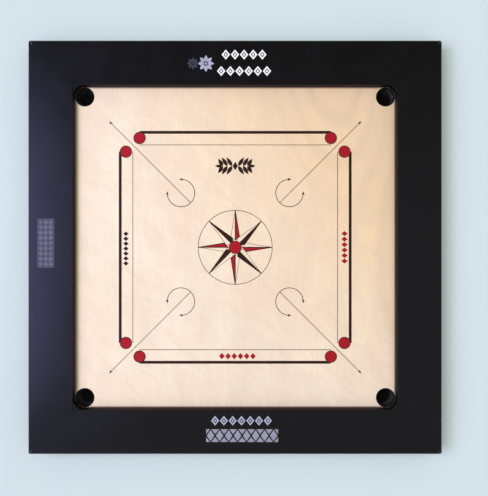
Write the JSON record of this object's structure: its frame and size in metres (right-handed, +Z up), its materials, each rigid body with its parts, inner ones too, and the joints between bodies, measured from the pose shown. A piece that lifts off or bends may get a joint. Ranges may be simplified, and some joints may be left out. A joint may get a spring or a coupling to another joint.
{
  "type": "carrom board",
  "caption": "Square tabletop game board with a pale plywood playing surface, wide raised black rails and a round netted pocket in each corner.",
  "frame": {"origin": "centre of the board, on the plane that the underside of the rails rests on", "axes": "+Z up out of the playing surface, +X towards the right rail, +Y towards the rear rail"},
  "size_m": [0.9432, 0.9432, 0.0508],
  "materials": {
    "black_lacquer": "black satin lacquer over hardwood, slightly worn at the edges",
    "birch_ply": "smooth clear lacquer over pale birch plywood",
    "softwood": "planed and unfinished",
    "hardwood": "sawn and unfinished",
    "zinc_steel": "zinc plated, satin",
    "black_plastic": "fine moulded texture",
    "net_cord": "knotted cotton cord",
    "black_ink": "screen printed, satin",
    "red_ink": "screen printed, satin",
    "pale_ink": "screen printed, satin"
  },
  "bodies": {
    "root": {"play_panel": "birch_ply", "rail_front": "black_lacquer", "rail_right": "black_lacquer", "rail_rear": "black_lacquer", "rail_left": "black_lacquer", "mitre_key_front_right": "hardwood", "mitre_key_rear_right": "hardwood", "mitre_key_rear_left": "hardwood", "mitre_key_front_left": "hardwood", "pocket_corner_block_front_right": "black_lacquer", "pocket_corner_block_rear_right": "black_lacquer", "pocket_corner_block_rear_left": "black_lacquer", "pocket_corner_block_front_left": "black_lacquer", "panel_bead_front": "softwood", "panel_bead_right": "softwood", "panel_bead_rear": "softwood", "panel_bead_left": "softwood", "batten_front": "softwood", "batten_right": "softwood", "batten_rear": "softwood", "batten_left": "softwood", "batten_screw_front_1": "zinc_steel", "batten_screw_front_2": "zinc_steel", "batten_screw_right_1": "zinc_steel", "batten_screw_right_2": "zinc_steel", "batten_screw_rear_1": "zinc_steel", "batten_screw_rear_2": "zinc_steel", "batten_screw_left_1": "zinc_steel", "batten_screw_left_2": "zinc_steel", "corner_plate_front_right": "zinc_steel", "corner_plate_rear_right": "zinc_steel", "corner_plate_rear_left": "zinc_steel", "corner_plate_front_left": "zinc_steel", "plate_screw_front_right_1": "zinc_steel", "plate_screw_front_right_2": "zinc_steel", "plate_screw_front_right_3": "zinc_steel", "plate_screw_front_right_4": "zinc_steel", "plate_screw_rear_right_1": "zinc_steel", "plate_screw_rear_right_2": "zinc_steel", "plate_screw_rear_right_3": "zinc_steel", "plate_screw_rear_right_4": "zinc_steel", "plate_screw_rear_left_1": "zinc_steel", "plate_screw_rear_left_2": "zinc_steel", "plate_screw_rear_left_3": "zinc_steel", "plate_screw_rear_left_4": "zinc_steel", "plate_screw_front_left_1": "zinc_steel", "plate_screw_front_left_2": "zinc_steel", "plate_screw_front_left_3": "zinc_steel", "plate_screw_front_left_4": "zinc_steel", "pocket_ring_front_right": "black_plastic", "pocket_ring_rear_right": "black_plastic", "pocket_ring_rear_left": "black_plastic", "pocket_ring_front_left": "black_plastic", "pocket_net_front_right": "net_cord", "pocket_net_rear_right": "net_cord", "pocket_net_rear_left": "net_cord", "pocket_net_front_left": "net_cord"}
  },
  "joints": []
}
